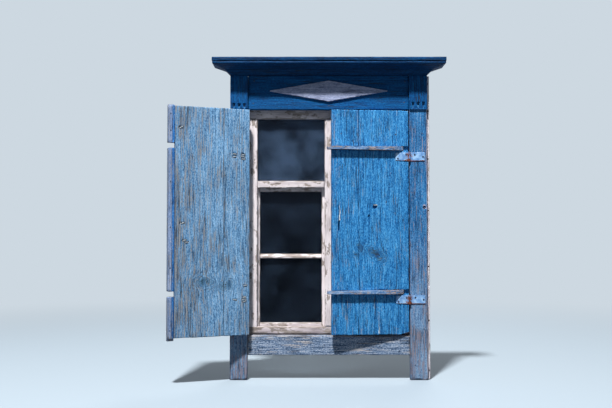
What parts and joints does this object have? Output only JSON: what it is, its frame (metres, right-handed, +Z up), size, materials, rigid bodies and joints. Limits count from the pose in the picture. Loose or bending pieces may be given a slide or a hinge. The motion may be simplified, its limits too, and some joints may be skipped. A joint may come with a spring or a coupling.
{
  "type": "window with shutters",
  "caption": "Small village window: white box frame with transom and inward sashes, blue board casing with cornice, and plank shutters on strap hinges.",
  "frame": {"origin": "middle of the front bottom edge of the box frame, in the plane of the wall face", "axes": "+Z up along the box posts, +Y into the wall, +X to the right seen from outside"},
  "size_m": [1.1883, 0.2722, 1.391],
  "materials": {
    "white_painted_wood": "peeling white paint over grey wood",
    "casing_wood": "weathered blue paint",
    "sheltered_blue_wood": "blue paint, little faded under the eaves",
    "lozenge_wood": "grey-mauve paint",
    "lath_wood": "pale weathered paint",
    "left_shutter_wood": "thin grey-blue paint over raised grain",
    "right_shutter_wood": "blue paint with worn streaks",
    "shutter_hinges": "light blue paint, rust at the knuckles",
    "hinge_pins": "rusty",
    "screws": "rusty",
    "sash_hinges": "white paint",
    "turn_button": "white paint",
    "glass": "old clear sheet glass"
  },
  "bodies": {
    "frame": {"apron_board": "casing_wood", "box_head": "white_painted_wood", "box_post_left": "white_painted_wood", "box_post_right": "white_painted_wood", "box_sill": "white_painted_wood", "casing_board_left": "casing_wood", "casing_board_right": "casing_wood", "casing_hinge_leaves_left": "shutter_hinges", "casing_hinge_leaves_right": "shutter_hinges", "casing_hinge_screws": "screws", "cornice_bed_mould": "sheltered_blue_wood", "cornice_cap_board": "sheltered_blue_wood", "cornice_crown_front": "sheltered_blue_wood", "cornice_crown_return_left": "sheltered_blue_wood", "cornice_crown_return_right": "sheltered_blue_wood", "frieze_board": "sheltered_blue_wood", "frieze_lozenge": "lozenge_wood", "mullion": "white_painted_wood", "pilaster_cap_left": "sheltered_blue_wood", "pilaster_cap_right": "sheltered_blue_wood", "sash_hinge_frame_leaves": "sash_hinges", "scribe_lath": "lath_wood", "shutter_hinge_pins": "hinge_pins", "top_light_beads": "white_painted_wood", "top_light_panes": "glass", "transom": "white_painted_wood", "turn_button_screw": "screws"},
    "left_sash": {"left_sash_beads": "white_painted_wood", "left_sash_bottom_rail": "white_painted_wood", "left_sash_glazing_bar": "white_painted_wood", "left_sash_hinge_leaves": "sash_hinges", "left_sash_hinge_stile": "sash_hinges", "left_sash_meeting_stile": "white_painted_wood", "left_sash_panes": "glass", "left_sash_top_rail": "white_painted_wood"},
    "left_shutter": {"left_shutter_cover_laths": "left_shutter_wood", "left_shutter_edge_strips": "left_shutter_wood", "left_shutter_free_board": "left_shutter_wood", "left_shutter_hinge_board": "left_shutter_wood", "left_shutter_hinge_leaves": "shutter_hinges", "left_shutter_lower_batten": "left_shutter_wood", "left_shutter_screws": "screws", "left_shutter_upper_batten": "left_shutter_wood"},
    "right_sash": {"right_sash_beads": "white_painted_wood", "right_sash_bottom_rail": "white_painted_wood", "right_sash_glazing_bar": "white_painted_wood", "right_sash_hinge_leaves": "sash_hinges", "right_sash_hinge_stile": "sash_hinges", "right_sash_meeting_stile": "white_painted_wood", "right_sash_panes": "glass", "right_sash_top_rail": "white_painted_wood"},
    "right_shutter": {"right_shutter_free_board": "right_shutter_wood", "right_shutter_hinge_board": "right_shutter_wood", "right_shutter_hinge_leaves": "shutter_hinges", "right_shutter_lower_batten": "right_shutter_wood", "right_shutter_screws": "screws", "right_shutter_upper_batten": "right_shutter_wood"},
    "turn_button": {"turn_button": "turn_button"}
  },
  "joints": [
    {"name": "left_shutter_hinge", "type": "hinge", "parent": "frame", "child": "left_shutter", "pos_m": [-0.351, -0.0373, 0.4975], "axis": [0, 0, -1], "range_deg": [-158, 4]},
    {"name": "right_shutter_hinge", "type": "hinge", "parent": "frame", "child": "right_shutter", "pos_m": [0.351, -0.0373, 0.4975], "axis": [0, 0, 1], "range_deg": [-7, 155]},
    {"name": "left_sash_hinge", "type": "hinge", "parent": "frame", "child": "left_sash", "pos_m": [-0.325, 0.0693, 0.37], "axis": [0, 0, 1], "range_deg": [0, 100]},
    {"name": "right_sash_hinge", "type": "hinge", "parent": "frame", "child": "right_sash", "pos_m": [0.325, 0.0693, 0.37], "axis": [0, 0, -1], "range_deg": [0, 100]},
    {"name": "turn_button_pivot", "type": "hinge", "parent": "frame", "child": "turn_button", "pos_m": [0, 0.0684, 0.36], "axis": [0, 1, 0], "range_deg": [0, 90]}
  ]
}
